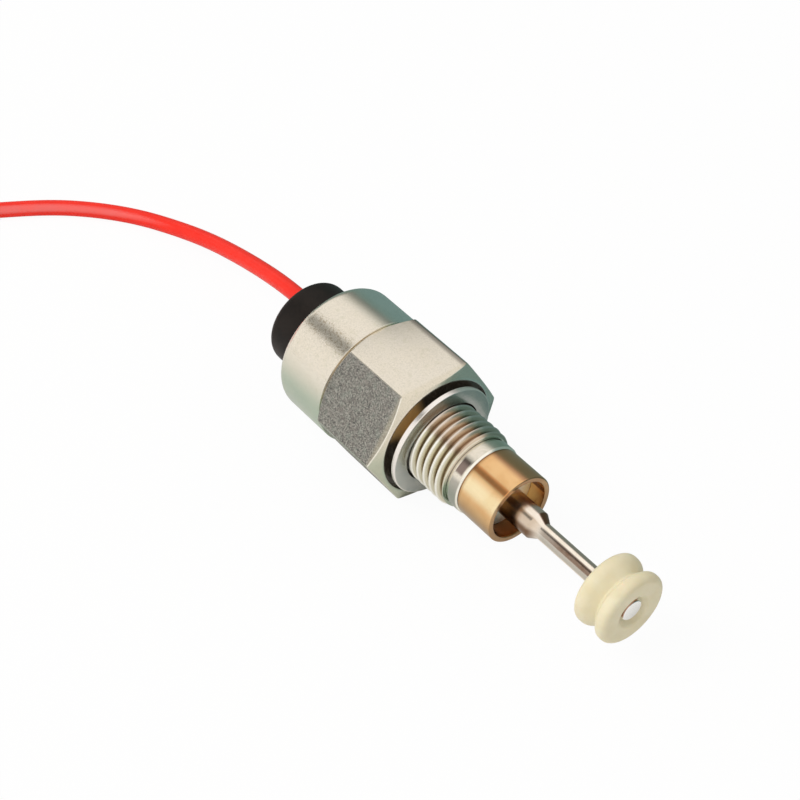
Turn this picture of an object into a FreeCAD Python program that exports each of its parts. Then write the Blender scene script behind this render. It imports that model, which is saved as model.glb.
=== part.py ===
import FreeCAD, Part
import math
import os

# Fuel shutoff solenoid, in millimetres.
# The axis is X, with the valve tip towards +X and +Z up.
# The origin is on the axis, in the plane where the sealing washer meets the carburettor.
# The part lies on its round shell and its hexagon, with a flat of the hexagon downwards.

# Sealing washer and its seat
washer_thickness = 0.75
washer_diameter = 16.7
washer_bore = 12.4
washer_play = 0.5
seat_diameter = 17.6
seat_depth = 0.4

# Hexagon
hex_across_flats = 19.0
hex_length = 12.75
hex_front_chamfer = 25.0
hex_rear_chamfer = 38.0
hex_wall = 1.2

# Shell
shell_step = 0.3
shell_length = 9.7
shell_edge_radius = 1.6
lip_thickness = 1.6
lip_play = 0.2

# Threaded nose
neck_diameter = 10.6
thread_diameter = 12.0
thread_length = 6.4
thread_end_diameter = 11.3
thread_end_taper = 0.7
groove_diameter = 10.3
groove_width = 0.55
collar_diameter = 10.7
collar_length = 1.45
nose_chamfer = 0.25
front_wall = 3.2

# Guide sleeve, with its larger mouth in front
sleeve_diameter = 10.3
sleeve_length = 6.3
sleeve_relief_width = 0.15
sleeve_relief_depth = 0.25
sleeve_mouth_bore = 8.7
sleeve_mouth_depth = 2.7
tube_wall = 0.7
rim_radius = 0.2

# Plunger
armature_diameter = 7.0
armature_length = 17.7
armature_play = 0.1
bleed_groove_radius = 0.5
stroke = 4.0
stem_diameter = 4.0
stem_reach = 3.3
stem_tail_diameter = 3.0
stem_tail_length = 6.0
cone_length = 1.3
rod_diameter = 2.4
rod_length = 10.8
rod_pin_diameter = 1.9
head_diameter = 3.2
head_edge_radius = 0.25
head_height = 0.45
stop_ring_thickness = 1.2
stem_play = 0.15

# Valve seal
seal_diameter = 10.4
rear_flange_width = 1.75
seal_length = 5.7
seal_rear_radius = 1.0
seal_slope_radius = 1.6
seal_edge_radius = 0.85
seal_groove_diameter = 8.0
seal_groove_slope = 1.55
seal_groove_width = 2.4
seal_groove_radius = 0.3
seal_recess_diameter = 4.6
seal_recess_floor = 3.4
seal_recess_depth = 0.75
seal_shoulder_depth = 1.6

# Coil and the pieces that hold it
bobbin_play = 0.1
bobbin_wall = 0.8
bobbin_flange = 0.9
bobbin_side_gap = 0.2
winding_margin = 0.5
tape_thickness = 0.2
front_washer_thickness = 0.22
spring_washer_thickness = 0.2
spring_washer_rise = 0.25
spring_washer_width = 1.2
back_plate_thickness = 1.6
core_flange_thickness = 0.6
pole_shim_thickness = 0.2
pole_shim_diameter = 6.8
pole_shim_gap = 0.1
core_pocket_depth = 3.0
o_ring_section = 1.3
o_ring_seat_depth = 1.45

# Return spring
spring_diameter = 4.0
spring_wire = 0.45
spring_turns = 10
spring_pocket_diameter = 4.3
armature_pocket_depth = 7.0

# End cap
cap_diameter = 13.2
cap_rear_diameter = 13.0
cap_length = 6.65
cap_edge_radius = 1.25
cap_flange_thickness = 1.35
cap_wall = 1.3
cap_end_thickness = 5.35

# Lead
lead_diameter = 2.5
lead_offset = 2.2
conductor_diameter = 1.4
conductor_length = 1.9
ferrule_diameter = 3.2
ferrule_length = 2.5
coil_wire_diameter = 0.4
coil_wire_rise = 1.15
coil_wire_gap = 0.45
coil_wire_hole = 0.7
coil_wire_bend = 0.25
coil_wire_reach = 0.5
ground_wire_turn = 17.0

# Lead's far end
coil_centre = (-105.97, -24.64)
coil_start_angle = -39.0
coil_inner_turn_radius = 11.25
coil_outer_turn_radius = 13.75
coil_first_sweep = 285.0
coil_hump_sweep = 125.0
coil_overlap = 15.0
coil_lap = 0.3
coil_end_angle = -180.0
coil_tail = 6.0
terminal_sleeve_diameter = 4.8
terminal_sleeve_length = 8.0
terminal_sleeve_edge_radius = 0.4
bullet_diameter = 4.0
bullet_length = 7.0
bullet_neck_diameter = 3.2
bullet_neck_length = 1.6
bullet_shoulder_radius = 0.3
bullet_tip_radius = 1.2

# Share of the shorter run that each arc of the lead takes
arc_share = 0.45

# Clearances
fixed_gap = 0.03
lead_gap = 0.05
face_gap = 0.03
washer_side_gap = 0.1

# Radii
hex_corner = hex_across_flats / math.sqrt(3)
shell_radius = hex_across_flats / 2 + shell_step
cavity_radius = hex_across_flats / 2 - hex_wall
tube_radius = armature_diameter / 2 + armature_play
shank_radius = tube_radius + tube_wall
nose_bore_radius = shank_radius + fixed_gap
o_ring_seat_radius = shank_radius + o_ring_section + 2 * fixed_gap
bobbin_bore_radius = shank_radius + bobbin_play
bobbin_tube_radius = bobbin_bore_radius + bobbin_wall
bobbin_flange_radius = cavity_radius - bobbin_side_gap
winding_radius = bobbin_flange_radius - winding_margin
cap_pocket_radius = cap_diameter / 2 - cap_wall
coil_wire_radius = shank_radius + coil_wire_rise
core_flange_radius = coil_wire_radius - coil_wire_diameter / 2 - coil_wire_gap
cap_wire_space_radius = coil_wire_radius + coil_wire_gap

# Places along the axis
hex_front = -washer_thickness - washer_play
hex_rear = hex_front - hex_length
shell_rear = hex_rear - shell_length
seat_face = hex_front - seat_depth
cavity_rear = shell_rear + lip_thickness
cavity_front = seat_face - front_wall
thread_end = thread_length + thread_end_taper
groove_end = thread_end + groove_width
collar_end = groove_end + collar_length
nose_tip = collar_end + nose_chamfer
sleeve_tip = nose_tip + sleeve_length
mouth_floor = sleeve_tip - sleeve_mouth_depth
ring_rear = mouth_floor - stop_ring_thickness
armature_front = ring_rear - face_gap
armature_rear = armature_front - armature_length
core_front = armature_rear - stroke - pole_shim_gap - pole_shim_thickness
stem_end = sleeve_tip + stem_reach
rod_start = stem_end + cone_length
seal_rear = rod_start + rod_length
seal_front = seal_rear + seal_length
bobbin_front = cavity_front - front_washer_thickness - face_gap
back_plate_rear = cavity_rear + cap_flange_thickness
back_plate_front = back_plate_rear + back_plate_thickness
bobbin_rear = back_plate_front + spring_washer_thickness + spring_washer_rise
core_flange_rear = back_plate_rear - core_flange_thickness
cap_front = back_plate_rear - face_gap
cap_rear = shell_rear - cap_length
cap_pocket_end = cap_rear + cap_end_thickness
ferrule_front = cap_pocket_end + face_gap + ferrule_length
floor_level = -shell_radius
lead_level = floor_level + lead_diameter / 2

X_AXIS = FreeCAD.Vector(1, 0, 0)
ORIGIN = FreeCAD.Vector(0, 0, 0)


def point(x, y, z=0.0):
    return FreeCAD.Vector(x, y, z)


def corner_arc(before, corner, after, radius):
    """Ends and middle of the arc that rounds a corner."""
    to_before = (before - corner).normalize()
    to_after = (after - corner).normalize()
    half = to_before.getAngle(to_after) / 2
    bisector = (to_before + to_after).normalize()
    reach = radius / math.tan(half)
    middle = corner + bisector * (radius / math.sin(half) - radius)
    return corner + to_before * reach, middle, corner + to_after * reach


def joined_edges(corners, radii, closed):
    """Straight edges and corner arcs through a row of points."""
    edges = []
    count = len(corners)
    last_end = None
    first_start = None
    for i, corner in enumerate(corners):
        start = end = corner
        arc = None
        if radii[i]:
            before = corners[i - 1]
            after = corners[(i + 1) % count]
            start, middle, end = corner_arc(before, corner, after, radii[i])
            arc = Part.Arc(start, middle, end).toShape()
        if last_end is not None and last_end.distanceToPoint(start) > 1e-6:
            edges.append(Part.LineSegment(last_end, start).toShape())
        if arc:
            edges.append(arc)
        if first_start is None:
            first_start = start
        last_end = end
    if closed:
        edges.append(Part.LineSegment(last_end, first_start).toShape())
    return edges


def turned(profile):
    """Solid turned about the X axis from corners (x, radius) or (x, radius, rounding)."""
    corners = [point(p[0], p[1]) for p in profile]
    radii = [p[2] if len(p) > 2 else 0 for p in profile]
    wire = Part.Wire(joined_edges(corners, radii, True))
    return Part.Face(wire).revolve(ORIGIN, X_AXIS, 360)


def ring(x_start, x_end, inner, outer):
    """Plain ring between two places on the axis."""
    return turned([(x_start, inner), (x_start, outer), (x_end, outer), (x_end, inner)])


def rod(x_start, x_end, radius, y=0.0, z=0.0):
    """Cylinder along X, on the axis or beside it."""
    return Part.makeCylinder(radius, x_end - x_start, point(x_start, y, z), X_AXIS)


def tube_along(points, radii, diameter):
    """Round bar along straight runs joined by tangent arcs."""
    path = Part.Wire(joined_edges(points, radii, False))
    start = points[0]
    heading = points[1] - points[0]
    section = Part.Wire(Part.makeCircle(diameter / 2, start, heading))
    return path, path.makePipeShell([section], True, True)


def make_hexagon():
    """Hexagon with both ends chamfered, a flat facing down."""
    corners = []
    for i in range(7):
        angle = math.radians(60 * i)
        corners.append(point(hex_rear, hex_corner * math.cos(angle), hex_corner * math.sin(angle)))
    prism = Part.Face(Part.makePolygon(corners)).extrude(X_AXIS * hex_length)
    flat = hex_across_flats / 2
    rise = hex_corner - flat
    envelope = turned([
        (hex_rear, 0),
        (hex_rear, flat),
        (hex_rear + rise * math.tan(math.radians(hex_rear_chamfer)), hex_corner),
        (hex_front - rise * math.tan(math.radians(hex_front_chamfer)), hex_corner),
        (hex_front, flat),
        (hex_front, 0),
    ])
    return prism.common(envelope)


def make_nose():
    """Threaded nose, drawn at the thread's outer diameter."""
    collar = collar_diameter / 2
    return turned([
        (seat_face, 0),
        (seat_face, neck_diameter / 2),
        (0, neck_diameter / 2),
        (0, thread_diameter / 2),
        (thread_length, thread_diameter / 2),
        (thread_end, thread_end_diameter / 2),
        (thread_end, groove_diameter / 2),
        (groove_end, groove_diameter / 2),
        (groove_end, collar),
        (collar_end, collar),
        (nose_tip, collar - nose_chamfer),
        (nose_tip, 0),
    ])


def make_body():
    """Shell, hexagon and nose in one piece, its rear lip rolled inwards."""
    shell = turned([
        (shell_rear, 0),
        (shell_rear, shell_radius, shell_edge_radius),
        (hex_rear, shell_radius),
        (hex_rear, 0),
    ])
    seat = ring(seat_face, hex_front, neck_diameter / 2, seat_diameter / 2)
    solid = shell.fuse(make_hexagon()).cut(seat).fuse(make_nose())
    inside = turned([
        (shell_rear, 0),
        (shell_rear, cap_diameter / 2 + lip_play),
        (cavity_rear, cap_diameter / 2 + lip_play),
        (cavity_rear, cavity_radius),
        (cavity_front, cavity_radius),
        (cavity_front, o_ring_seat_radius),
        (cavity_front + o_ring_seat_depth, o_ring_seat_radius),
        (cavity_front + o_ring_seat_depth, nose_bore_radius),
        (nose_tip, nose_bore_radius),
        (nose_tip, 0),
    ])
    return solid.cut(inside).removeSplitter()


def make_guide_sleeve():
    """Brass tube, wider in front of the nose, open at both ends."""
    outside = sleeve_diameter / 2
    relief_end = nose_tip + sleeve_relief_width
    return turned([
        (back_plate_rear, tube_radius),
        (back_plate_rear, shank_radius),
        (nose_tip, shank_radius),
        (nose_tip, outside - sleeve_relief_depth),
        (relief_end, outside - sleeve_relief_depth),
        (relief_end, outside),
        (sleeve_tip, outside, rim_radius),
        (sleeve_tip, sleeve_mouth_bore / 2, rim_radius / 2),
        (ring_rear, sleeve_mouth_bore / 2),
        (ring_rear, tube_radius),
    ])


def make_armature():
    """Steel slug with a bore for the stem, a pocket for the spring and two bleed grooves."""
    radius = armature_diameter / 2
    solid = rod(armature_rear, armature_front, radius)
    solid = solid.cut(rod(armature_front - stem_tail_length, armature_front, stem_tail_diameter / 2 + fixed_gap))
    solid = solid.cut(rod(armature_rear, armature_rear + armature_pocket_depth, spring_pocket_diameter / 2))
    for side in (-radius, radius):
        solid = solid.cut(rod(armature_rear, armature_front, bleed_groove_radius, side))
    return solid


def make_plunger_stem():
    """Stem, cone, slim rod and peened head, turned in one piece."""
    shoulder = seal_rear + seal_shoulder_depth
    head_rear = seal_front - seal_recess_depth
    head = head_diameter / 2
    tail_end = armature_front - stem_tail_length + face_gap
    return turned([
        (tail_end, 0),
        (tail_end, stem_tail_diameter / 2),
        (armature_front, stem_tail_diameter / 2),
        (armature_front, stem_diameter / 2),
        (stem_end, stem_diameter / 2),
        (rod_start, rod_diameter / 2),
        (shoulder, rod_diameter / 2),
        (shoulder, rod_pin_diameter / 2),
        (head_rear, rod_pin_diameter / 2),
        (head_rear, head),
        (head_rear + head_height, head, head_edge_radius),
        (head_rear + head_height, 0),
    ])


def make_valve_seal():
    """Nylon spool: two rounded flanges, a sloping groove between them and a dished recess in front."""
    flange = seal_diameter / 2
    floor = seal_groove_diameter / 2
    groove_start = seal_rear + rear_flange_width
    shoulder = seal_rear + seal_shoulder_depth
    pin = rod_pin_diameter / 2 + fixed_gap
    passage = rod_diameter / 2 + fixed_gap
    recess_floor = seal_front - seal_recess_depth - face_gap
    return turned([
        (seal_rear, passage),
        (seal_rear, flange, seal_rear_radius),
        (groove_start, flange, seal_slope_radius),
        (groove_start + seal_groove_slope, floor, seal_groove_radius),
        (groove_start + seal_groove_width, flange, seal_edge_radius),
        (seal_front, flange, seal_edge_radius),
        (seal_front, seal_recess_diameter / 2),
        (recess_floor, seal_recess_floor / 2),
        (recess_floor, pin),
        (shoulder, pin),
        (shoulder, passage),
    ])


def make_return_spring():
    """Open coil spring between the core's pocket and the armature's pocket."""
    start = core_front - core_pocket_depth + spring_wire / 2 + face_gap
    end = armature_rear + armature_pocket_depth - spring_wire / 2 - face_gap
    height = end - start
    radius = (spring_diameter - spring_wire) / 2
    helix = Part.makeHelix(height / spring_turns, height, radius)
    section = Part.Wire(Part.makeCircle(spring_wire / 2, point(radius, 0), point(0, 1)))
    spring = Part.Wire(helix.Edges).makePipeShell([section], True, True)
    spring.rotate(ORIGIN, point(0, 1), 90)
    spring.translate(X_AXIS * start)
    return spring


def make_fixed_core():
    """Pole piece in the sleeve's rear end, with a flange behind the back plate."""
    solid = turned([
        (core_flange_rear, 0),
        (core_flange_rear, core_flange_radius),
        (back_plate_rear - face_gap, core_flange_radius),
        (back_plate_rear - face_gap, tube_radius - fixed_gap),
        (core_front, tube_radius - fixed_gap),
        (core_front, 0),
    ])
    return solid.cut(rod(core_front - core_pocket_depth, core_front, spring_pocket_diameter / 2))


def coil_wire_holes(x_start, x_end):
    """Two small holes for the ends of the winding."""
    first = rod(x_start, x_end, coil_wire_hole / 2, coil_wire_radius)
    second = rod(x_start, x_end, coil_wire_hole / 2, -coil_wire_radius)
    return first.fuse(second)


def make_bobbin():
    """Spool that carries the winding, with two wire holes in its rear flange."""
    flange = bobbin_flange_radius
    spool = turned([
        (bobbin_rear, bobbin_bore_radius),
        (bobbin_rear, flange),
        (bobbin_rear + bobbin_flange, flange),
        (bobbin_rear + bobbin_flange, bobbin_tube_radius),
        (bobbin_front - bobbin_flange, bobbin_tube_radius),
        (bobbin_front - bobbin_flange, flange),
        (bobbin_front, flange),
        (bobbin_front, bobbin_bore_radius),
    ])
    return spool.cut(coil_wire_holes(bobbin_rear, bobbin_rear + bobbin_flange))


def make_spring_washer():
    """Thin cone-shaped ring that presses the bobbin forwards."""
    outer = bobbin_flange_radius
    inner = bobbin_flange_radius - spring_washer_width
    low = back_plate_front
    return turned([
        (low + face_gap, outer),
        (low + spring_washer_thickness, outer),
        (low + spring_washer_thickness + spring_washer_rise - face_gap, inner),
        (low + spring_washer_rise, inner),
    ])


def make_back_plate():
    """Steel plate behind the coil, with the two wire holes."""
    plate = ring(back_plate_rear, back_plate_front, shank_radius + fixed_gap, cavity_radius - fixed_gap)
    return plate.cut(coil_wire_holes(back_plate_rear, back_plate_front))


def make_end_cap():
    """Moulded cap: a flange under the shell's lip, a pocket inside and a bore for the lead."""
    cap = turned([
        (cap_front, cap_wire_space_radius),
        (cap_front, cavity_radius - fixed_gap),
        (cavity_rear + face_gap, cavity_radius - fixed_gap),
        (cavity_rear + face_gap, cap_diameter / 2),
        (cap_rear, cap_rear_diameter / 2, cap_edge_radius),
        (cap_rear, 0),
        (cap_pocket_end, 0),
        (cap_pocket_end, cap_pocket_radius),
        (cavity_rear, cap_pocket_radius),
        (cavity_rear, cap_wire_space_radius),
    ])
    return cap.cut(rod(cap_rear, cap_pocket_end, lead_diameter / 2 + lead_gap, lead_offset))


def make_o_ring():
    """Rubber ring round the sleeve, in its seat in the front wall."""
    centre = cavity_front + o_ring_section / 2 + face_gap
    radius = shank_radius + o_ring_section / 2 + fixed_gap
    return Part.makeTorus(radius, o_ring_section / 2, point(centre, 0), X_AXIS)


def bent_wire(points):
    """Thin wire through a few points, with small bends."""
    radii = [0] + [coil_wire_bend] * (len(points) - 2) + [0]
    return tube_along(points, radii, coil_wire_diameter)[1]


def make_coil_start_wire():
    """From the winding through the back plate and behind the core into the crimp."""
    behind_core = core_flange_rear - face_gap - coil_wire_diameter / 2
    return bent_wire([
        point(bobbin_rear + bobbin_flange, coil_wire_radius),
        point(behind_core, coil_wire_radius),
        point(behind_core, lead_offset),
        point(ferrule_front - coil_wire_reach, lead_offset),
    ])


def make_ground_wire():
    """From the winding through the back plate, then bent over on the plate's rear face."""
    behind_plate = back_plate_rear - face_gap - coil_wire_diameter / 2
    turn = math.radians(ground_wire_turn)
    end = point(behind_plate, -coil_wire_radius * math.cos(turn), coil_wire_radius * math.sin(turn))
    return bent_wire([
        point(bobbin_rear + bobbin_flange, -coil_wire_radius),
        point(behind_plate, -coil_wire_radius),
        end,
    ])


def make_splice_ferrule():
    """Crimp tube, too wide for the cap's bore, so it also holds the lead in."""
    rear = ferrule_front - ferrule_length
    bore = conductor_diameter / 2 + fixed_gap
    sleeve = rod(rear, ferrule_front, ferrule_diameter / 2, lead_offset)
    return sleeve.cut(rod(rear, ferrule_front, bore, lead_offset))


def coil_point(angle, radius, level=0.0):
    """Point of the put-away coil at an angle in degrees."""
    a = math.radians(angle)
    return point(coil_centre[0] + radius * math.cos(a), coil_centre[1] + radius * math.sin(a), level)


def lead_route():
    """Points from the crimp down to the surface and along it, with an even radius at each."""
    points = [
        point(cap_pocket_end, lead_offset, 0),
        point(-31.6, lead_offset, 0),
        point(-38.4, 2.75, -1.0),
        point(-44.8, 3.25, -2.55),
        point(-52.3, 3.6, -4.6),
        point(-60.0, 3.4, -6.6),
        point(-67.0, 2.0, -8.05),
        point(-73.3, -0.8, lead_level),
        point(-78.6, -5.0, lead_level),
        point(-83.4, -10.2, lead_level),
        point(-87.8, -17.4, lead_level),
        point(-92.2, -25.5, lead_level),
        coil_point(coil_start_angle, coil_inner_turn_radius, lead_level),
    ]
    radii = [0]
    for i in range(1, len(points) - 1):
        before = points[i] - points[i - 1]
        after = points[i + 1] - points[i]
        half_turn = before.getAngle(after) / 2
        radii.append(arc_share * min(before.Length, after.Length) / math.tan(half_turn))
    return points, radii + [0]


def make_lead_wire():
    """Free stretch of the lead."""
    points, radii = lead_route()
    path, solid = tube_along(points, radii, lead_diameter)
    section = math.pi * lead_diameter ** 2 / 4
    print("lead radii", [round(r, 1) for r in radii[1:-1]])
    print("lead stretch", round(path.Length, 2), "volume ratio", round(solid.Volume / section / path.Length, 4))
    return solid


def coil_sector(inner, outer, from_angle, to_angle, low, high):
    """Piece of a flat ring about the coil's centre, from one angle clockwise to another."""
    halfway = (from_angle + to_angle) / 2
    outside = [coil_point(a, outer, low) for a in (from_angle, halfway, to_angle)]
    inside = [coil_point(a, inner, low) for a in (to_angle, halfway, from_angle)]
    wire = Part.Wire([
        Part.Arc(*outside).toShape(),
        Part.LineSegment(outside[2], inside[0]).toShape(),
        Part.Arc(*inside).toShape(),
        Part.LineSegment(inside[2], outside[0]).toShape(),
    ])
    return Part.Face(wire).extrude(point(0, 0, high - low))


def make_lead_coil():
    """Outer shape of the put-away coil: a first turn, a hump over the lead and an outer turn."""
    half = lead_diameter / 2
    inner = coil_inner_turn_radius - half
    middle = coil_outer_turn_radius - half
    outer = coil_outer_turn_radius + half
    low = floor_level
    under = floor_level + lead_diameter + fixed_gap
    top = under + coil_lap
    high = under + lead_diameter
    first_end = coil_start_angle - coil_first_sweep
    hump_end = first_end - coil_hump_sweep
    last_end = coil_end_angle - 360
    first = coil_sector(inner, middle, coil_start_angle, first_end, low, top)
    hump = coil_sector(inner, outer, first_end + coil_overlap, hump_end, under, high)
    last = coil_sector(middle, outer, hump_end + coil_overlap, last_end, low, top)
    tail_corner = coil_point(coil_end_angle, outer, low)
    tail = Part.makeBox(lead_diameter, coil_tail, top - low, tail_corner)
    return first.fuse([hump, last, tail]).removeSplitter()


def terminal_place():
    """Middle of the lead's end face, at the terminal's level."""
    start = coil_point(coil_end_angle, coil_outer_turn_radius)
    return point(start.x, start.y + coil_tail, floor_level + terminal_sleeve_diameter / 2)


def turned_terminal(profile):
    """Solid turned about the terminal's own line, from corners (distance, radius, rounding)."""
    solid = turned(profile)
    solid.rotate(ORIGIN, point(0, 0, 1), 90)
    solid.translate(terminal_place())
    return solid


def make_terminal_sleeve():
    """Soft insulating sleeve over the crimp of the terminal."""
    radius = terminal_sleeve_diameter / 2
    bore = bullet_neck_diameter / 2 + fixed_gap
    middle = terminal_sleeve_length / 2
    return turned_terminal([
        (0, 0),
        (0, radius, terminal_sleeve_edge_radius),
        (terminal_sleeve_length, radius, terminal_sleeve_edge_radius),
        (terminal_sleeve_length, bore),
        (middle, bore),
        (middle, 0),
    ])


def make_bullet_terminal():
    """Plug-in end with a neck in the sleeve, a groove and a rounded tip."""
    neck = bullet_neck_diameter / 2
    radius = bullet_diameter / 2
    start = terminal_sleeve_length
    tip = start + bullet_length
    return turned_terminal([
        (start / 2 + face_gap, 0),
        (start / 2 + face_gap, neck),
        (start + bullet_neck_length, neck),
        (start + bullet_neck_length, radius, bullet_shoulder_radius),
        (tip, radius, bullet_tip_radius),
        (tip, 0),
    ])


def make_parts():
    """Every piece of the solenoid by name."""
    winding_rear = bobbin_rear + bobbin_flange + face_gap
    winding_front = bobbin_front - bobbin_flange - face_gap
    conductor_front = cap_pocket_end + conductor_length
    return {
        "body": make_body(),
        "end_cap": make_end_cap(),
        "sealing_washer": ring(-washer_thickness, 0, washer_bore / 2, washer_diameter / 2),
        "guide_sleeve": make_guide_sleeve(),
        "stop_ring": ring(ring_rear + face_gap, mouth_floor, stem_diameter / 2 + stem_play,
                          sleeve_mouth_bore / 2 - fixed_gap),
        "armature": make_armature(),
        "plunger_stem": make_plunger_stem(),
        "valve_seal": make_valve_seal(),
        "return_spring": make_return_spring(),
        "fixed_core": make_fixed_core(),
        "pole_shim": ring(core_front, core_front + pole_shim_thickness,
                          spring_pocket_diameter / 2, pole_shim_diameter / 2),
        "bobbin": make_bobbin(),
        "coil_winding": ring(winding_rear, winding_front, bobbin_tube_radius + fixed_gap, winding_radius),
        "winding_tape": ring(winding_rear, winding_front, winding_radius + fixed_gap,
                             winding_radius + fixed_gap + tape_thickness),
        "front_washer": ring(bobbin_front + face_gap, cavity_front, bobbin_bore_radius,
                             cavity_radius - washer_side_gap),
        "spring_washer": make_spring_washer(),
        "back_plate": make_back_plate(),
        "sleeve_o_ring": make_o_ring(),
        "coil_start_wire": make_coil_start_wire(),
        "ground_wire": make_ground_wire(),
        "splice_ferrule": make_splice_ferrule(),
        "lead_conductor": rod(cap_pocket_end, conductor_front, conductor_diameter / 2, lead_offset),
        "lead_wire": make_lead_wire(),
        "lead_coil": make_lead_coil(),
        "terminal_sleeve": make_terminal_sleeve(),
        "bullet_terminal": make_bullet_terminal(),
    }


os.makedirs("parts", exist_ok=True)
for name, shape in make_parts().items():
    solids = shape.Solids
    print(f"{name:18s} solids {len(solids)} valid {shape.isValid()} volume {shape.Volume:9.2f}")
    piece = solids[0] if len(solids) == 1 else shape
    piece.exportStep(f"parts/{name}.step")
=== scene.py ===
import math

import bmesh
import bpy
from mathutils import Matrix, Vector


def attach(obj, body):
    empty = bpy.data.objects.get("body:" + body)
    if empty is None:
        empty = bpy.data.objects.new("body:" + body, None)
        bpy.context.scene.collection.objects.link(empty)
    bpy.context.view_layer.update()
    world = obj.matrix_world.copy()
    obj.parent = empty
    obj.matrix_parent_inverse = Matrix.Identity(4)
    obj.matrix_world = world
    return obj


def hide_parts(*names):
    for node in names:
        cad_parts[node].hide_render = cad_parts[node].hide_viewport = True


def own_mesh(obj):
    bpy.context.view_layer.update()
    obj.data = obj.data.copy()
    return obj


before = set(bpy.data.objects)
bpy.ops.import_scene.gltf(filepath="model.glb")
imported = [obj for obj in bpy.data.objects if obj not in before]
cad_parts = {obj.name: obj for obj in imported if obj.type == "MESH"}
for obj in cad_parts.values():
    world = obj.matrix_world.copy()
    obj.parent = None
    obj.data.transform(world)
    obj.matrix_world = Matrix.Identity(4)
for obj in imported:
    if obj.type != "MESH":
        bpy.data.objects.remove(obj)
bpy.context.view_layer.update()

MM = 0.001
TURN = 2 * math.pi

# Sizes in millimetres. X runs along the axis towards the seal, and is 0 where the washer meets the
# housing. Angles round the axis are in degrees from +Y towards +Z.

FLOOR = -9.8
LEAD_RADIUS = 1.25
LEAD_LEVEL = FLOOR + LEAD_RADIUS
CONNECTOR_LEVEL = FLOOR + 2.4

HEX_FLAT = 9.5
HEX_CORNER = 10.9
HEX_REAR = -14.0
HEX_FRONT = -1.06
HEX_END_RADIUS = 9.42
HEX_FRONT_RADIUS = 9.02
REAR_SLOPE = math.tan(math.radians(38))
FRONT_SLOPE = math.tan(math.radians(25))
EDGE_WIDTH = 0.13

# The hexagon's flats with a rough drawn skin, and how far from the axis that skin starts and is full.
ROUGH_FLATS = (150, 210, 330)
FLAT_SKIN = (9.44, 9.48)

THREAD_PITCH = 1.25
THREAD_RADIUS = 6.0
RUN_OUT = 6.2
THREAD_END = 7.1

# Noise stretched round the axis, as turning leaves it.
TURNED = (1.0, 0.02, 0.02)

SPRING_REAR = -13.25
SPRING_FRONT = 0.99
SPRING_WIRE = 0.225
SPRING_MIDDLE = 1.775
SPRING_TURNS = 10

COIL_CENTRE = Vector((-105.97, -24.64))
INNER_TURN = 11.2
OUTER_TURN = 13.75
HUMP = 2.75

CAMERA_AIM = Vector((-9.338, 0.411, 0))
CAMERA_DISTANCE = 246.853


# Shader values and nodes

class Value:
    """A shader value. Operators on it add Math nodes."""

    def __init__(self, tree, socket):
        self.tree = tree
        self.socket = socket

    def math(self, operation, *values):
        return self.tree.node("ShaderNodeMath", {"operation": operation}, dict(enumerate(values)))

    def __add__(self, other):
        return self.math("ADD", self, other)

    __radd__ = __add__

    def __sub__(self, other):
        return self.math("SUBTRACT", self, other)

    def __rsub__(self, other):
        return self.math("SUBTRACT", other, self)

    def __mul__(self, other):
        return self.math("MULTIPLY", self, other)

    __rmul__ = __mul__

    def __truediv__(self, other):
        return self.math("DIVIDE", self, other)

    def __abs__(self):
        return self.math("ABSOLUTE", self)

    def sine(self):
        return self.math("SINE", self)

    def at_least(self, other):
        return self.math("MAXIMUM", self, other)

    def power(self, other):
        return self.math("POWER", self, other)

    def rise(self, start, end):
        """0 before start, 1 after end, smooth between. End may be the lower one."""
        settings = {"interpolation_type": "SMOOTHSTEP"}
        return self.tree.node("ShaderNodeMapRange", settings, {0: self, 1: start, 2: end, 3: 0.0, 4: 1.0})

    def between(self, start, full, fading, end):
        """0 up to start, 1 from full to fading, 0 again from end."""
        return self.rise(start, full) * self.rise(end, fading)

    def band(self, centre, half_width, soft):
        """1 within half_width of the centre, 0 further than soft outside it."""
        return abs(self - centre).rise(half_width + soft, half_width)


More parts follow.
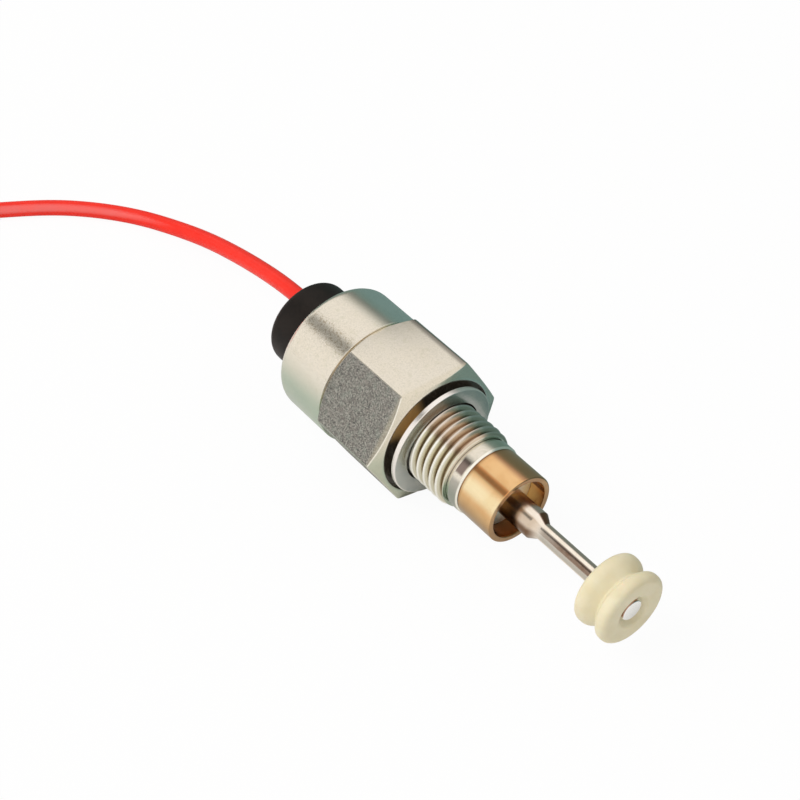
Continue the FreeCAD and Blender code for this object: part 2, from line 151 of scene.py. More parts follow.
class Tree:
    """The nodes of one material or of the world."""

    def __init__(self, owner):
        owner.use_nodes = True
        self.nodes = owner.node_tree.nodes
        self.links = owner.node_tree.links
        self.nodes.clear()

    def node(self, kind, settings, inputs, output=0):
        """Adds a node and gives one of its outputs. Inputs are links or plain values."""
        made = self.nodes.new(kind)
        for key, value in settings.items():
            setattr(made, key, value)
        for key, value in inputs.items():
            if isinstance(value, Value):
                self.links.new(value.socket, made.inputs[key])
            elif isinstance(value, tuple) and made.inputs[key].type == "RGBA":
                made.inputs[key].default_value = (*value, 1.0)
            else:
                made.inputs[key].default_value = value
        return Value(self, made.outputs[output]) if made.outputs else None

    def coordinates(self):
        """Place on the object in millimetres: x, y, z and the vector itself."""
        place = self.node("ShaderNodeTexCoord", {}, {}, "Object")
        scaled = self.node("ShaderNodeVectorMath", {"operation": "SCALE"}, {0: place, "Scale": 1000.0})
        parts = [self.node("ShaderNodeSeparateXYZ", {}, {0: scaled}, i) for i in range(3)]
        return (*parts, scaled)

    def from_axis(self, y, z):
        """Distance from the X axis in millimetres."""
        return (y * y + z * z).power(0.5)

    def turn_angle(self, y, z):
        """Degrees round the X axis, 0 to 360, from +Y towards +Z."""
        return y.math("ARCTAN2", z * -1, y * -1) * (180 / math.pi) + 180

    def noise(self, place, size, detail=2.0, stretch=(1.0, 1.0, 1.0)):
        """Noise with grains of about this size in millimetres."""
        moved = self.node("ShaderNodeMapping", {}, {"Vector": place, "Scale": stretch})
        inputs = {"Vector": moved, "Scale": 1.0 / size, "Detail": detail}
        return self.node("ShaderNodeTexNoise", {}, inputs)

    def mix(self, factor, low, high):
        return self.node("ShaderNodeMix", {"data_type": "RGBA"}, {0: factor, 6: low, 7: high}, 2)

    def paint(self, colour, *layers):
        """Lays colours over each other, each given with how much of it covers."""
        for cover, over in layers:
            colour = self.mix(cover, colour, over)
        return colour

    def bump(self, height, distance, strength=1.0):
        inputs = {"Height": height, "Distance": distance * MM, "Strength": strength}
        return self.node("ShaderNodeBump", {}, inputs)

    def surface(self, **inputs):
        """The Principled shader, its sockets given as words such as base_color."""
        named = {key.replace("_", " ").title(): value for key, value in inputs.items()}
        named = {key.replace("Ior", "IOR"): value for key, value in named.items()}
        shader = self.node("ShaderNodeBsdfPrincipled", {}, named)
        self.node("ShaderNodeOutputMaterial", {}, {"Surface": shader})


def new_look(name):
    material = bpy.data.materials.new(name)
    return material, Tree(material)


# Finishes

def drawn_flats(t, x, y, z, radius, in_hexagon):
    """Where the rough drawn flats are, and a painted highlight along their front edge."""
    flats = None
    for angle in ROUGH_FLATS:
        a = math.radians(angle)
        flat = (y * math.cos(a) + z * math.sin(a)).rise(*FLAT_SKIN)
        flats = flat if flats is None else flats.at_least(flat)
    from_edge = HEX_FRONT - (radius - HEX_FRONT_RADIUS) * FRONT_SLOPE - x
    flats = flats * in_hexagon
    # A painted highlight along the flats' front edge.
    edge_highlight = flats * from_edge.rise(0.24, 0.14)
    return flats - edge_highlight, edge_highlight


def zinc_plating():
    """Plated steel: smooth on the round parts, rougher and darker on the drawn flats."""
    material, t = new_look("zinc_plating")
    x, y, z, place = t.coordinates()
    radius = t.from_axis(y, z)
    turn = t.turn_angle(y, z)
    cloud = t.noise(place, 3.0, 3.0)
    mottle = t.noise(place, 0.9, 4.0)
    grain = t.noise(place, 0.12, 3.0)
    fleck = t.noise(place, 0.24, 4.0)
    blotch = t.noise(place, 0.55, 3.0)

    # Painted light round the axis: cream on the lit upper side and top flat, green on the shaded lower side,
    # a teal painted reflection on the far side, and a painted dark edge on the top flat's far side.
    in_hexagon = x.band(-7.6, 6.2, 0.3)
    top_flat = z.rise(*FLAT_SKIN) * in_hexagon
    bright_side = math.radians(122)
    lit_side = (y * math.cos(bright_side) + z * math.sin(bright_side)) / radius
    far_side_reflection = (y + z * 0.25).rise(3.4, 6.6) * (1 - top_flat)
    cream = t.mix(cloud, (0.82, 0.75, 0.63), (0.85, 0.79, 0.70))
    green = t.mix(cloud, (0.44, 0.53, 0.43), (0.52, 0.59, 0.48))
    teal = t.mix(cloud, (0.64, 0.75, 0.71), (0.72, 0.82, 0.78))
    colour = t.paint(
        t.mix(lit_side.rise(0.52, 0.90).at_least(top_flat), green, cream),
        (mottle.rise(0.55, 0.75) * 0.30, (0.62, 0.60, 0.44)),
        (far_side_reflection, teal),
        (top_flat * y.rise(4.3, 5.0), (0.34, 0.31, 0.27)),
    )

    rough_flats, edge_highlight = drawn_flats(t, x, y, z, radius, in_hexagon)
    drawn = t.paint(
        t.mix((fleck * 0.6 + grain * 0.4).rise(0.38, 0.62), (0.115, 0.115, 0.11), (0.47, 0.455, 0.41)),
        (blotch.rise(0.45, 0.65) * 0.5, (0.23, 0.205, 0.19)),
        (mottle.rise(0.5, 0.7) * 0.35, (0.33, 0.37, 0.32)),
    )
    front_face = x.between(-2.6, -1.9, -1.2, -1.0) * radius.rise(8.6, 8.9)
    # The washer seat is painted dark as shade under the washer, with a painted orange reflection round 134
    # degrees.
    seat = x.between(-1.9, -1.7, -0.05, 0.05) * radius.rise(8.95, 8.7)
    seat_shade_and_reflection = t.mix(seat * turn.band(134, 14, 16), (0.05, 0.036, 0.025), (0.85, 0.54, 0.21))
    speckle = grain.rise(0.35, 0.75) * 0.12 + fleck.rise(0.46, 0.62) * 0.10 * (1 - rough_flats)
    stained = fleck.rise(0.50, 0.60) * turn.band(120, 4, 7) * x.rise(-14.1, -14.6)
    colour = t.paint(
        colour,
        (rough_flats, drawn),
        # painted highlight on the drawn flats' front edge
        (edge_highlight, (0.97, 0.96, 0.90)),
        (front_face * 0.35, (0.72, 0.64, 0.48)),
        # painted shade and reflection in the washer seat
        (seat, seat_shade_and_reflection),
        (speckle, (0.38, 0.36, 0.29)),
        (stained * 0.5, (0.40, 0.31, 0.18)),
    )

    threaded = x.between(-0.3, -0.1, 6.9, 7.1)
    collar = x.between(7.6, 7.7, 9.1, 9.2) * radius.rise(5.2, 5.3)
    front_rim = x.between(9.05, 9.15, 9.3, 9.4) * radius.rise(5.0, 5.1)
    # Painted light on the thread and collar: a painted highlight on the crests, painted shade in the roots,
    # brown and dark green painted reflections on two sides, two painted dark reflections on the collar and a
    # painted highlight on its front rim.
    colour = t.paint(
        colour,
        (threaded, t.mix(cloud, (0.66, 0.63, 0.49), (0.78, 0.73, 0.58))),
        (threaded * radius.rise(5.74, 5.90), (0.99, 0.97, 0.90)),
        (threaded * radius.rise(5.62, 5.32) * 0.9, (0.24, 0.17, 0.085)),
        (threaded * turn.band(99, 19, 12) * 0.5, (0.60, 0.40, 0.29)),
        (threaded * turn.rise(78, 66) * 0.6, (0.20, 0.27, 0.23)),
        (collar * turn.band(131, 9, 5) * x.rise(9.0, 8.8), (0.26, 0.20, 0.175)),
        (front_rim, (0.98, 0.95, 0.86)),
        (collar * turn.band(180, 25, 8) * 0.6, (0.26, 0.25, 0.23)),
    )

    roughness = 0.17 + 0.07 * cloud + 0.30 * rough_flats + 0.05 * grain + 0.02 * threaded
    metal = 0.94 - 0.75 * seat
    height = grain * 0.35 + fleck * rough_flats * 1.2
    t.surface(base_color=colour, metallic=metal, roughness=roughness, normal=t.bump(height, 0.010, 0.6))
    return material


def turned_brass():
    """Brass with fine turning rings, its colour carrying painted highlights, reflections and shade, darkest
    in the painted shade inside its mouth.
    """
    material, t = new_look("turned_brass")
    x, y, z, place = t.coordinates()
    turn = t.turn_angle(y, z)
    rings = t.noise(place, 0.05, 2.0, TURNED)
    cloud = t.noise(place, 2.2, 3.0)
    patchy = cloud.rise(0.35, 0.75)
    orange = t.mix(patchy, (0.86, 0.55, 0.27), (0.80, 0.47, 0.21))
    pale = t.mix(patchy, (0.95, 0.79, 0.50), (0.92, 0.73, 0.43))
    mouth = (y * y + z * z).rise(24.5, 23.0) * x.rise(15.6, 15.3)
    shaded_side = turn.band(246, 32, 8).at_least(turn.band(10, 5, 4)).at_least(turn.band(115, 16, 12))
    # Painted light on the brass: a pale highlight band, orange and brown painted reflections, painted shade
    # on the underside, the rear end and the rim face, and painted shade in the mouth with a lit and a shaded
    # side.
    colour = t.paint(
        orange,
        (turn.band(145, 4, 16), pale),
        (z.rise(2.2, -2.0) * 0.95, (0.36, 0.235, 0.125)),
        (turn.band(119, 3, 4) * 0.7, (0.80, 0.30, 0.09)),
        (turn.band(64, 20, 10) * 0.65, (0.55, 0.27, 0.15)),
        (x.rise(10.0, 9.5) * 0.6, (0.40, 0.22, 0.10)),
        (mouth * 0.9, t.mix(shaded_side, (0.84, 0.44, 0.15), (0.20, 0.07, 0.025))),
        (x.rise(15.57, 15.62) * 0.75, (0.38, 0.23, 0.12)),
    )
    roughness = 0.16 + 0.09 * cloud + 0.05 * rings
    t.surface(base_color=colour, metallic=1.0, roughness=roughness, normal=t.bump(rings, 0.004, 0.6))
    return material


def stem_painted_reflections(t, colour, x, y, z, place):
    """Stem and rod painted with reflections: grey, brown and pink sides, a dark brown streak along the slim
    rod, and a white head with a brown side.
    """
    turn = t.turn_angle(y, z)
    fleck = t.noise(place, 0.3, 3.0, (0.5, 1.0, 1.0))
    stem = x.rise(20.6, 19.0)
    cone = x.between(18.8, 19.0, 20.2, 20.4)
    slim = x.between(19.5, 21.3, 32.9, 33.0)
    head_side = x.between(35.9, 36.0, 36.38, 36.43)
    # Every layer below is a painted reflection, on the stem, the cone, the slim rod and its head.
    away = turn.band(42, 36, 12)
    streak = turn.band(131, 15, 10) * (0.6 + 0.5 * fleck) * slim
    return t.paint(
        colour,
        (turn.band(150, 36, 10) * slim * 0.75, (0.46, 0.44, 0.39)),
        (streak * (0.9 * (0.45 + 0.55 * x.rise(20.5, 25.0))), (0.18, 0.085, 0.045)),
        (turn.band(150, 36, 8) * stem * 0.6, (0.50, 0.36, 0.24)),
        (turn.band(205, 35, 22) * stem * 0.9, (0.16, 0.08, 0.04)),
        (away * 0.8, (0.80, 0.54, 0.46)),
        (away * cone, (0.27, 0.12, 0.07)),
        (x.rise(33.0, 33.1), (0.99, 0.99, 0.985)),
        (turn.band(125, 52, 24) * head_side * 0.9, (0.34, 0.15, 0.06)),
    )


def turned_steel(name, base, other, roughness, ring=0.06, painted_reflections=None):
    """Steel with turning rings along the axis."""
    material, t = new_look(name)
    x, y, z, place = t.coordinates()
    rings = t.noise(place, ring, 2.0, TURNED)
    cloud = t.noise(place, 1.6, 3.0)
    colour = t.mix(cloud.rise(0.3, 0.7), base, other)
    # Painted reflections, where a function for them is given.
    if painted_reflections:
        colour = painted_reflections(t, colour, x, y, z, place)
    level = roughness + 0.10 * cloud + 0.05 * rings
    t.surface(base_color=colour, metallic=1.0, roughness=level, normal=t.bump(rings, 0.005, 0.6))
    return material


def washer_metal():
    """Soft washer with light scratches, its rim painted bright as a highlight and its faces painted dull as
    a dark reflection.
    """
    material, t = new_look("washer_metal")
    x, y, z, place = t.coordinates()
    scratch = t.noise(place, 0.10, 4.0, (1.0, 0.25, 1.6))
    cloud = t.noise(place, 1.5, 2.0)
    face = t.mix(cloud, (0.46, 0.50, 0.49), (0.62, 0.62, 0.57))
    rim = t.mix(cloud, (0.92, 0.86, 0.82), (0.95, 0.91, 0.88))
    # Painted highlight on the rim, painted dark reflection on the faces.
    colour = t.mix(t.from_axis(y, z).rise(8.15, 8.3), face, rim)
    level = 0.23 + 0.06 * scratch
    t.surface(base_color=colour, metallic=0.95, roughness=level, normal=t.bump(scratch, 0.003, 0.6))
    return material


def moulded(name, base, other, roughness, grain=0.25, depth=0.006, coat=0.0, specular=0.5):
    """Moulded plastic or rubber with a faint cloud of colour and a fine skin."""
    material, t = new_look(name)
    place = t.coordinates()[3]
    cloud = t.noise(place, 2.5, 3.0)
    skin = t.noise(place, grain, 3.0)
    colour = t.mix(cloud.rise(0.3, 0.7), base, other)
    t.surface(base_color=colour, roughness=roughness + 0.08 * skin, specular_ior_level=specular,
              coat_weight=coat, coat_roughness=0.2, normal=t.bump(skin, depth, 0.6))
    return material


def seal_nylon():
    """Cream nylon that lets a little light in, browner on one side of the recess beside the rod's head."""
    material, t = new_look("nylon")
    x, y, z, place = t.coordinates()
    cloud = t.noise(place, 2.5, 3.0)
    skin = t.noise(place, 0.4, 3.0)
    recess = x.rise(35.9, 36.2) * t.from_axis(y, z).rise(2.9, 2.2)
    colour = t.paint(
        t.mix(cloud.rise(0.3, 0.7), (0.81, 0.74, 0.53), (0.76, 0.68, 0.46)),
        (t.turn_angle(y, z).band(135, 40, 28) * recess * 0.5, (0.46, 0.25, 0.09)),
    )
    t.surface(base_color=colour, roughness=0.36 + 0.08 * skin, subsurface_weight=0.25,
              subsurface_radius=(1.0, 0.7, 0.4), subsurface_scale=0.0006, normal=t.bump(skin, 0.004, 0.6))
    return material


def red_insulation():
    """Red lead: a soft sheen along its middle, and a deeper red at its sides."""
    material, t = new_look("lead_red")
    place = t.coordinates()[3]
    cloud = t.noise(place, 2.5, 3.0)
    skin = t.noise(place, 0.5, 3.0)
    colour = t.mix(cloud.rise(0.3, 0.7), (0.90, 0.032, 0.018), (0.86, 0.028, 0.016))
    facing = t.node("ShaderNodeLayerWeight", {}, {"Blend": 0.5}, "Facing")
    sheen = facing.rise(0.24, 0.02) * (0.75 + 0.35 * cloud)
    t.surface(base_color=colour, roughness=0.30 + 0.08 * skin, specular_ior_level=0.2,
              coat_weight=sheen, coat_ior=2.2, coat_roughness=0.3, normal=t.bump(skin, 0.004, 0.6))
    return material


def wound_copper():
    """Enamelled wire laid side by side."""
    material, t = new_look("wound_copper")
    x, y, z, place = t.coordinates()
    wires = (x * (TURN / 0.2)).sine()
    cloud = t.noise(place, 1.0, 2.0)
    # The grooves between the wires are painted darker as shade.
    colour = t.paint(
        t.mix(cloud, (0.50, 0.20, 0.08), (0.62, 0.27, 0.11)),
        (wires.rise(0.0, -1.0) * 0.5, (0.20, 0.07, 0.03)),
    )
    t.surface(base_color=colour, metallic=0.85, roughness=0.28 + 0.1 * cloud, normal=t.bump(wires, 0.02))
    return material


zinc = zinc_plating()
brass = turned_brass()
washer = washer_metal()
copper = wound_copper()
stem_steel = turned_steel("stem_steel", (0.98, 0.89, 0.79), (0.93, 0.82, 0.70), 0.13, 0.06, stem_painted_reflections)
ring_steel = turned_steel("ring_steel", (0.80, 0.90, 0.86), (0.86, 0.92, 0.88), 0.42, 0.1)
core_steel = turned_steel("core_steel", (0.56, 0.56, 0.56), (0.48, 0.48, 0.49), 0.25, 0.08)
spring_steel = turned_steel("spring_steel", (0.60, 0.60, 0.62), (0.52, 0.52, 0.55), 0.22, 0.3)
tin = turned_steel("tin", (0.80, 0.79, 0.76), (0.70, 0.69, 0.66), 0.22, 0.09)
shim_brass = turned_steel("shim_brass", (0.82, 0.64, 0.34), (0.76, 0.56, 0.28), 0.26)
nylon = seal_nylon()
cap_plastic = moulded("cap_plastic", (0.010, 0.008, 0.007), (0.016, 0.012, 0.010), 0.42, 0.35, 0.004,
                      specular=0.12)
lead_red = red_insulation()
sleeve_red = moulded("sleeve_red", (0.52, 0.03, 0.02), (0.46, 0.025, 0.018), 0.45, 0.3, 0.01)
bobbin_plastic = moulded("bobbin_plastic", (0.11, 0.11, 0.12), (0.13, 0.13, 0.14), 0.45)
tape_film = moulded("tape_film", (0.66, 0.42, 0.06), (0.60, 0.37, 0.05), 0.22, 0.6, 0.003, 0.3)
fibre_sheet = moulded("fibre_sheet", (0.36, 0.13, 0.06), (0.30, 0.10, 0.05), 0.60, 0.15, 0.02)
ring_rubber = moulded("ring_rubber", (0.022, 0.022, 0.022), (0.03, 0.03, 0.03), 0.5, 0.2)


# Piece making, with sizes in millimetres

def rounded(profile, arc_steps=6):
    """Points (x, radius) of a profile whose corners may have a rounding."""
    count = len(profile)
    points = []
    for i, corner in enumerate(profile):
        here = Vector(corner[:2])
        if len(corner) < 3:
            points.append(here)
            continue
        before = (Vector(profile[i - 1][:2]) - here).normalized()
        after = (Vector(profile[(i + 1) % count][:2]) - here).normalized()
        half = before.angle(after) / 2
        reach = corner[2] / math.tan(half)
        centre = here + (before + after).normalized() * (corner[2] / math.sin(half))
        start = here + before * reach - centre
        sweep = start.angle_signed(here + after * reach - centre)
        for k in range(arc_steps + 1):
            turn = Matrix.Rotation(-sweep * k / arc_steps, 2)
            points.append(centre + turn @ start)
    return points


def piece_from(bm, name, look, body, nodes, sharp=30.0, place=None):
    """Finishes a piece: outward normals, smooth faces, material and place in the frame."""
    bmesh.ops.remove_doubles(bm, verts=bm.verts, dist=1e-7)
    bmesh.ops.dissolve_degenerate(bm, edges=bm.edges, dist=1e-7)
    bmesh.ops.recalc_face_normals(bm, faces=bm.faces)
    if place:
        bmesh.ops.transform(bm, matrix=place, verts=bm.verts)
    mesh = bpy.data.meshes.new(name)
    bm.to_mesh(mesh)
    bm.free()
    mesh.shade_smooth()
    mesh.set_sharp_from_angle(angle=math.radians(sharp))
    mesh.materials.append(look)
    piece = bpy.data.objects.new(name, mesh)
    bpy.context.scene.collection.objects.link(piece)
    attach(piece, body)
    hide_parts(*nodes)
    return piece


def spun(profile, steps=180, arc_steps=6):
    """A profile of (x, radius) corners turned about the X axis."""
    bm = bmesh.new()
    verts = [bm.verts.new((p.x * MM, 0.0, p.y * MM)) for p in rounded(profile, arc_steps)]
    edges = [bm.edges.new(pair) for pair in zip(verts, verts[1:] + verts[:1])]
    bmesh.ops.spin(bm, geom=verts + edges, cent=(0, 0, 0), axis=(1, 0, 0), angle=TURN, steps=steps,
                   use_merge=True)
    return bm


def helix_bar(section, pitch, turns, steps):
    """A closed section of (x, radius) points carried round the X axis and along it."""
    bm = bmesh.new()
    verts = [bm.verts.new((x * MM, 0.0, r * MM)) for x, r in section]
    face = bm.faces.new(verts)
    advance = (pitch / steps * MM, 0, 0)
    bmesh.ops.spin(bm, geom=[face], cent=(0, 0, 0), axis=(1, 0, 0), dvec=advance,
                   angle=TURN * turns, steps=int(steps * turns))
    return bm


# Steel body: shell, hexagon and nose

def hexagon_radius(angle):
    """Distance from the axis to the hexagon's side, its corners slightly rounded."""
    from_flat = (math.degrees(angle) % 60) - 30
    return min(HEX_FLAT / math.cos(math.radians(from_flat)), HEX_CORNER)


def chamfer_edge(angle, end, end_radius, slope, row):
    """Place (x, radius) on the softened edge between an end chamfer and a side."""
    side = hexagon_radius(angle)
    rise = side - end_radius
    towards = 1 if slope > 0 else -1
    cone = Vector((slope, 1.0)).normalized()
    corner = Vector((end + slope * rise, side))
    width = min(EDGE_WIDTH, 0.3 * rise)
    on_cone = corner - cone * width
    on_side = corner + Vector((towards * width, 0))
    middle = (on_cone + on_side) / 2 * 0.6 + corner * 0.4
    return (on_cone, middle, on_side)[row]


def make_body():
    """The shell, hexagon and nose turned as one, then the hexagon's rows moved out to its sides.

    Rows of 10.1 mm and more are those of the hexagon's softened edges.
    """
    rear_rows = [(-13.0, 10.1), (-12.9, 10.2), (-12.8, 10.3)]
    front_rows = [(-2.2, 10.3), (-2.1, 10.2), (-2.0, 10.1)]
    profile = [
        (-22.1, 6.8),
        (-23.7, 6.8, 0.15),
        (-23.7, 9.8, 1.6),
        (HEX_REAR, 9.8, 0.12),
        (HEX_REAR, HEX_END_RADIUS),
        *rear_rows,
        *front_rows,
        (HEX_FRONT, HEX_FRONT_RADIUS, 0.06),
        (HEX_FRONT, 8.8, 0.06),
        (-1.65, 8.8),
        (-1.65, 5.3),
        (-0.05, 5.3),
        (0.0, 5.9),
        (0.55, 5.9),
        (0.9, 5.23),
        (THREAD_END, 5.23),
        (THREAD_END, 5.15),
        (7.65, 5.15),
        (7.65, 5.35, 0.08),
        (9.1, 5.35, 0.06),
        (9.35, 5.1, 0.06),
        (9.35, 4.35),
        (-3.4, 4.35),
        (-3.4, 5.66),
        (-4.85, 5.66),
        (-4.85, 8.3),
        (-22.1, 8.3),
    ]
    bm = spun(profile, 360, 8)
    hexagon_rows = {round(r, 1): i for i, (x, r) in enumerate(rear_rows)}
    for vert in bm.verts:
        radius = math.hypot(vert.co.y, vert.co.z) / MM
        x = vert.co.x / MM
        if radius < 10.05:
            continue
        angle = math.atan2(vert.co.z, vert.co.y)
        row = hexagon_rows[round(radius, 1)]
        if x < -7:
            place = chamfer_edge(angle, HEX_REAR, HEX_END_RADIUS, REAR_SLOPE, row)
        else:
            place = chamfer_edge(angle, HEX_FRONT, HEX_FRONT_RADIUS, -FRONT_SLOPE, row)
        vert.co = Vector((place.x, place.y * math.cos(angle), place.y * math.sin(angle))) * MM
    return piece_from(bm, "steel_body", zinc, "case", ["body"])


def make_thread():
    """Right-handed ridge of 1.25 mm pitch, chamfered at its start and run out at its end."""
    section = [(0.0, 5.15), (0.0, 5.233), (0.39, 5.87), (0.47, 5.975), (0.545, THREAD_RADIUS),
               (0.62, 5.975), (0.70, 5.87), (1.09, 5.233), (1.09, 5.15)]
    bm = helix_bar([(x - 2 * THREAD_PITCH, r) for x, r in section], THREAD_PITCH, 9, 144)
    bmesh.ops.recalc_face_normals(bm, faces=bm.faces)
    for cut, cleared in ((0.0, {"clear_inner": True}), (RUN_OUT, {}), (THREAD_END, {"clear_outer": True})):
        geometry = bm.verts[:] + bm.edges[:] + bm.faces[:]
        bmesh.ops.bisect_plane(bm, geom=geometry, plane_co=(cut * MM, 0, 0), plane_no=(1, 0, 0), **cleared)
    open_edges = [e for e in bm.edges if e.is_boundary]
    bmesh.ops.contextual_create(bm, geom=open_edges)
    for vert in bm.verts:
        x = vert.co.x / MM
        radius = math.hypot(vert.co.y, vert.co.z) / MM
        limit = THREAD_RADIUS - 0.4 * max(x - RUN_OUT, 0)
        if radius > limit:
            vert.co.y *= limit / radius
            vert.co.z *= limit / radius
    return piece_from(bm, "nose_thread", zinc, "case", ["body"], 25.0)


make_body()
make_thread()

# Washer, sleeve, cap and stop ring

# The loose washer stands a little forward of its seat and leans.
washer_lean = Matrix.Translation((0.22 * MM, 0, 0))
washer_lean = washer_lean @ Matrix.Rotation(math.radians(3), 4, (0, 0.766, 0.643))
piece_from(spun([(-0.75, 6.2, 0.05), (-0.75, 8.35, 0.12), (0.0, 8.35, 0.12), (0.0, 6.2, 0.05)]),
           "flat_washer", washer, "case", ["sealing_washer"], 30.0, washer_lean)

piece_from(spun([
    (-20.75, 3.6),
    (-20.75, 4.3),
    (9.35, 4.3),
    (9.35, 4.9),
    (9.5, 4.9),
    (9.5, 5.15, 0.05),
    (15.65, 5.15, 0.18),
    (15.65, 4.35, 0.12),
    (11.75, 4.35),
    (11.75, 3.6),
]), "brass_sleeve", brass, "case", ["guide_sleeve"])

piece_from(spun([(11.78, 2.15), (12.95, 2.15, 0.08), (12.95, 4.32, 0.06), (11.78, 4.32)]),
           "mouth_ring", ring_steel, "case", ["stop_ring"])


def make_cap():
    """Cap with a flange inside the shell; its rear face is where the lead leaves."""
    bm = spun([
        (-20.78, 5.9),
        (-20.78, 8.27),
        (-22.07, 8.27),
        (-22.07, 6.6),
        (-30.35, 6.5, 1.25),
        (-30.35, 0.0),
        (-25.0, 0.0),
        (-25.0, 5.3),
        (-22.1, 5.3),
        (-22.1, 5.9),
    ], 180, 12)
    return piece_from(bm, "black_cap", cap_plastic, "case", ["end_cap"])


make_cap()

# Plunger

piece_from(spun([
    (5.75, 0.0),
    (5.75, 1.5),
    (11.72, 1.5),
    (11.72, 2.0),
    (18.95, 2.0, 0.1),
    (20.25, 1.2, 0.1),
    (32.65, 1.2),
    (32.65, 0.95),
    (36.0, 0.95),
    (36.0, 1.6, 0.06),
    (36.45, 1.6, 0.25),
    (36.45, 0.0),
], 120), "stem_and_rod", stem_steel, "plunger", ["plunger_stem"])

piece_from(spun([
    (31.05, 1.23),
    (31.05, 5.2, 1.0),
    (32.8, 5.2, 1.6),
    (34.35, 4.0, 0.3),
    (35.2, 5.2, 0.85),
    (36.75, 5.2, 0.85),
    (36.75, 2.5, 0.8),
    (35.98, 1.72),
    (35.98, 0.98),
    (32.65, 0.98),
    (32.65, 1.23),
], 180, 14), "nylon_seal", nylon, "plunger", ["valve_seal"])


def make_spring():
    """Open coil spring at one length, with a mesh of its own; the real one shortens as the plunger goes in.
    """
    first = SPRING_REAR + SPRING_WIRE
    last = SPRING_FRONT - SPRING_WIRE
    section = []
    for k in range(12):
        a = TURN * k / 12
        section.append((first + SPRING_WIRE * math.cos(a), SPRING_MIDDLE + SPRING_WIRE * math.sin(a)))
    bm = helix_bar(section, (last - first) / SPRING_TURNS, SPRING_TURNS, 40)
    spring = piece_from(bm, "coil_spring", spring_steel, "case", ["return_spring"], 60.0)
    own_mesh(spring)
    return spring


make_spring()

# Lead with its put-away coil and its terminal

def eased(value):
    """0 below 0, 1 above 1, smooth between."""
    value = min(max(value, 0), 1)
    return value * value * (3 - 2 * value)


def coil_points():
    """Control points of the first turn, the hump over the lead and the outer turn."""
    points = []
    step = 15
    spread = 1 / math.cos(math.radians(step / 2))
    for k in range(1, 34):
        turned = k * step
        angle = math.radians(-39 - turned)
        crossing = min(max((turned - 285) / 125, 0), 1)
        lift = HUMP * (eased(crossing / 0.36) - eased((crossing - 0.62) / 0.4))
        radius = (INNER_TURN + (OUTER_TURN - INNER_TURN) * eased(crossing)) * spread
        points.append((COIL_CENTRE.x + radius * math.cos(angle), COIL_CENTRE.y + radius * math.sin(angle),
                       LEAD_LEVEL + lift))
    return points


def lead_points():
    """Control points from inside the cap, down to the floor, round the coil and into the terminal."""
    end_x = COIL_CENTRE.x - OUTER_TURN
    end_y = COIL_CENTRE.y
    return [
        (-25.0, 2.2, 0.0),
        (-31.6, 2.2, 0.0),
        (-38.4, 2.75, -1.0),
        (-44.8, 3.25, -2.55),
        (-52.3, 3.6, -4.6),
        (-60.0, 3.4, -6.6),
        (-67.0, 2.0, -8.05),
        (-73.3, -0.8, LEAD_LEVEL),
        (-78.6, -5.0, LEAD_LEVEL),
        (-83.4, -10.2, LEAD_LEVEL),
        (-87.8, -17.4, LEAD_LEVEL),
        (-92.2, -25.5, LEAD_LEVEL),
        (-96.4, -30.9, LEAD_LEVEL),
        *coil_points(),
        (end_x, end_y + 2.0, LEAD_LEVEL + 0.1),
        (end_x, end_y + 4.0, LEAD_LEVEL + 0.9),
        (end_x, end_y + 5.5, CONNECTOR_LEVEL),
        (end_x, end_y + 7.5, CONNECTOR_LEVEL),
    ]


def make_lead():
    curve = bpy.data.curves.new("red_lead", "CURVE")
    curve.dimensions = "3D"
    curve.bevel_depth = LEAD_RADIUS * MM
    curve.bevel_resolution = 6
    curve.use_fill_caps = True
    spline = curve.splines.new("NURBS")
    route = lead_points()
    spline.points.add(len(route) - 1)
    for point, place in zip(spline.points, route):
        point.co = (place[0] * MM, place[1] * MM, place[2] * MM, 1.0)
    spline.order_u = 3
    spline.use_endpoint_u = True
    spline.resolution_u = 8
    curve.materials.append(lead_red)
    lead = bpy.data.objects.new("red_lead", curve)
    bpy.context.scene.collection.objects.link(lead)
    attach(lead, "case")
    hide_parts("lead_wire", "lead_coil")
    return lead


lead = make_lead()

terminal_start = Vector((COIL_CENTRE.x - OUTER_TURN, COIL_CENTRE.y + 6.0, CONNECTOR_LEVEL)) * MM
terminal_place = Matrix.Translation(terminal_start) @ Matrix.Rotation(math.radians(90), 4, "Z")
terminal_sleeve = piece_from(spun([
    (0.0, 1.27),
    (0.0, 2.1, 0.3),
    (1.2, 2.4, 0.6),
    (8.0, 2.4, 0.4),
    (8.0, 1.63),
    (4.0, 1.63),
    (4.0, 1.27),
], 96), "soft_sleeve", sleeve_red, "case", ["terminal_sleeve"], 40.0, terminal_place)
bullet = piece_from(spun([
    (4.03, 0.0),
    (4.03, 1.6),
    (9.6, 1.6),
    (9.6, 2.0, 0.25),
    (11.6, 2.0, 0.2),
    (11.9, 1.75, 0.15),
    (12.3, 1.75, 0.15),
    (12.6, 2.0, 0.2),
    (15.0, 2.0, 1.2),
    (15.0, 0.0),
], 96, 10), "bullet_plug", tin, "case", ["bullet_terminal"], 30.0, terminal_place)

# Inner pieces that keep their CAD shape

INNER = {
    "armature": core_steel,
    "fixed_core": core_steel,
    "back_plate": core_steel,
    "pole_shim": shim_brass,
    "spring_washer": spring_steel,
    "bobbin": bobbin_plastic,
    "coil_winding": copper,
    "coil_start_wire": copper,
    "ground_wire": copper,
    "lead_conductor": copper,
    "winding_tape": tape_film,
    "front_washer": fibre_sheet,
    "sleeve_o_ring": ring_rubber,
    "splice_ferrule": tin,
}
for name, look in INNER.items():
    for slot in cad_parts[name].material_slots:
        slot.material = look


# Floor, card, lamp and world

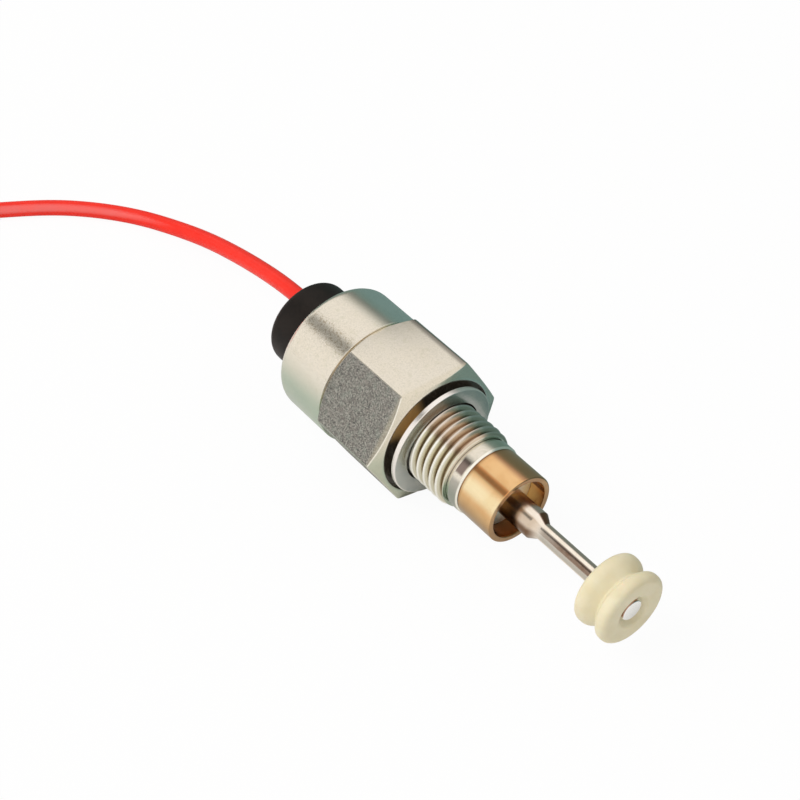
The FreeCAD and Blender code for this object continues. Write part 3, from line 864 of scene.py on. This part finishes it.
def make_plane(name, corners, look):
    bm = bmesh.new()
    bm.faces.new([bm.verts.new(Vector(c) * MM) for c in corners])
    mesh = bpy.data.meshes.new(name)
    bm.to_mesh(mesh)
    bm.free()
    mesh.materials.append(look)
    plane = bpy.data.objects.new(name, mesh)
    bpy.context.scene.collection.objects.link(plane)
    return plane


def floor_look():
    """Pale floor that the camera sees as white with a soft shadow."""
    material, t = new_look("pale_floor")
    seen = t.node("ShaderNodeLightPath", {}, {}, "Is Camera Ray")
    lit = t.node("ShaderNodeBsdfDiffuse", {}, {"Color": (0.87, 0.87, 0.86)})
    white = t.node("ShaderNodeEmission", {}, {"Color": (1.0, 1.0, 1.0), "Strength": 1.0})
    shown = t.node("ShaderNodeMixShader", {}, {0: seen * 0.95, 1: lit, 2: white})
    t.node("ShaderNodeOutputMaterial", {}, {"Surface": shown})
    return material


def card_look(name, colour):
    material, t = new_look(name)
    glow = t.node("ShaderNodeEmission", {}, {"Color": colour, "Strength": 1.0})
    t.node("ShaderNodeOutputMaterial", {}, {"Surface": glow})
    return material


make_plane("floor", [(-3000, -3000, FLOOR), (3000, -3000, FLOOR), (3000, 3000, FLOOR), (-3000, 3000, FLOOR)],
           floor_look())
far_card = make_plane("dark_card", [(-400, 15, FLOOR), (200, 15, FLOOR), (200, 15, 16), (-400, 15, 16)],
                      card_look("dark_card", (0.185, 0.265, 0.245)))
far_card.visible_camera = False
far_card.visible_diffuse = False
far_card.visible_shadow = False
far_card.visible_transmission = False


def make_world():
    """White to the camera, soft to matt surfaces, and a studio of bright and dark bands to metal."""
    world = bpy.data.worlds.new("studio")
    bpy.context.scene.world = world
    t = Tree(world)
    direction = t.node("ShaderNodeTexCoord", {}, {}, "Generated")
    x, y, z = [t.node("ShaderNodeSeparateXYZ", {}, {0: direction}, i) for i in range(3)]
    angle = y.math("ARCTAN2", z, y) * (180 / math.pi)
    lamp_gap = angle.band(117, 7, 6) * x.rise(0.2, -0.2)
    behind = angle.rise(56, 30) * x.rise(0.5, 0.1)
    level = (1.0 - 0.85 * lamp_gap) * (1.0 - 0.92 * behind)
    colour = t.mix(level, (0.10, 0.11, 0.10), (1.0, 0.98, 0.945))
    camera_ray = t.node("ShaderNodeLightPath", {}, {}, "Is Camera Ray")
    glossy_ray = t.node("ShaderNodeLightPath", {}, {}, "Is Glossy Ray")
    through_ray = t.node("ShaderNodeLightPath", {}, {}, "Is Transmission Ray")
    soft = t.node("ShaderNodeBackground", {}, {"Color": (1.0, 0.99, 0.97), "Strength": 0.62})
    bands = t.node("ShaderNodeBackground", {}, {"Color": colour, "Strength": 1.0})
    white = t.node("ShaderNodeBackground", {}, {"Color": (1.0, 1.0, 1.0), "Strength": 1.0})
    mixed = t.node("ShaderNodeMixShader", {}, {0: glossy_ray, 1: soft, 2: bands})
    shown = t.node("ShaderNodeMixShader", {}, {0: camera_ray.at_least(through_ray), 1: mixed, 2: white})
    t.node("ShaderNodeOutputWorld", {}, {"Surface": shown})


def make_lamp(name, place, size, power, tint):
    """Soft square lamp aimed at the middle of the object."""
    lamp = bpy.data.lights.new(name, "AREA")
    lamp.size = size
    lamp.energy = power
    lamp.color = tint
    holder = bpy.data.objects.new(name, lamp)
    holder.location = place
    holder.rotation_euler = (-Vector(place)).to_track_quat("-Z", "Y").to_euler()
    holder.visible_glossy = False
    bpy.context.scene.collection.objects.link(holder)


make_world()
make_lamp("key_lamp", (-0.25, -0.55, 0.75), 0.5, 5.0, (1.0, 0.98, 0.95))

# Camera

AZIMUTH, ELEVATION, ROLL = (math.radians(a) for a in (49.781, 43.839, 2.346))
back = Vector((math.sin(AZIMUTH) * math.cos(ELEVATION), -math.cos(AZIMUTH) * math.cos(ELEVATION),
               math.sin(ELEVATION)))
right = Vector((math.cos(AZIMUTH), math.sin(AZIMUTH), 0))
up = back.cross(right)
side = right * math.cos(ROLL) + up * math.sin(ROLL)
top = up * math.cos(ROLL) - right * math.sin(ROLL)
lens = bpy.data.cameras.new("camera")
lens.sensor_width = 36
lens.lens = 82.126
lens.clip_start = 0.01
camera = bpy.data.objects.new("camera", lens)
camera.matrix_world = Matrix((side, top, back)).transposed().to_4x4()
camera.location = CAMERA_AIM * MM + back * (CAMERA_DISTANCE * MM)
bpy.context.scene.collection.objects.link(camera)
bpy.context.scene.camera = camera

bpy.context.scene.view_settings.view_transform = "Standard"
